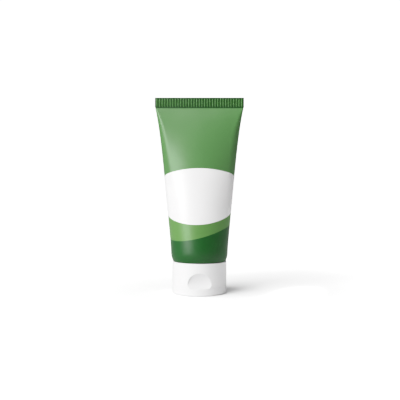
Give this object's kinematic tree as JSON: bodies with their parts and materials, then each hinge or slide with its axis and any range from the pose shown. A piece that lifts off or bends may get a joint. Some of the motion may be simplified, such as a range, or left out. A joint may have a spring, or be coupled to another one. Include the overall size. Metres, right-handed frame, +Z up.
{
  "type": "toothpaste tube",
  "caption": "Filled squeeze tube with a ribbed flat end, drawn-in foot and flip-top cap with a thumb recess, standing upright on its lid",
  "frame": {"origin": "centre of the lid's flat end, on the surface that the tube stands on", "axes": "+Z runs up the tube to the ribbed weld, X lies along the weld, -Y is the front with the thumb recess and +Y the back with the hinge"},
  "size_m": [0.0628, 0.04, 0.1373],
  "materials": {
    "printed_laminate": "satin printed laminate film in green and white",
    "head_plastic": "plain moulded polyethylene",
    "cap_plastic": "smooth white moulded polypropylene",
    "paste": "smooth pale paste"
  },
  "bodies": {
    "tube": {"sleeve": "printed_laminate", "head": "head_plastic", "cap_body": "cap_plastic", "hinge_strap": "cap_plastic", "paste": "paste"},
    "lid": {"lid": "cap_plastic"}
  },
  "joints": [
    {"name": "lid_hinge", "type": "hinge", "parent": "tube", "child": "lid", "pos_m": [0, 0.01905, 0.005], "axis": [1, 0, 0], "range_deg": [0, 150], "deforming": ["hinge_strap"]}
  ]
}
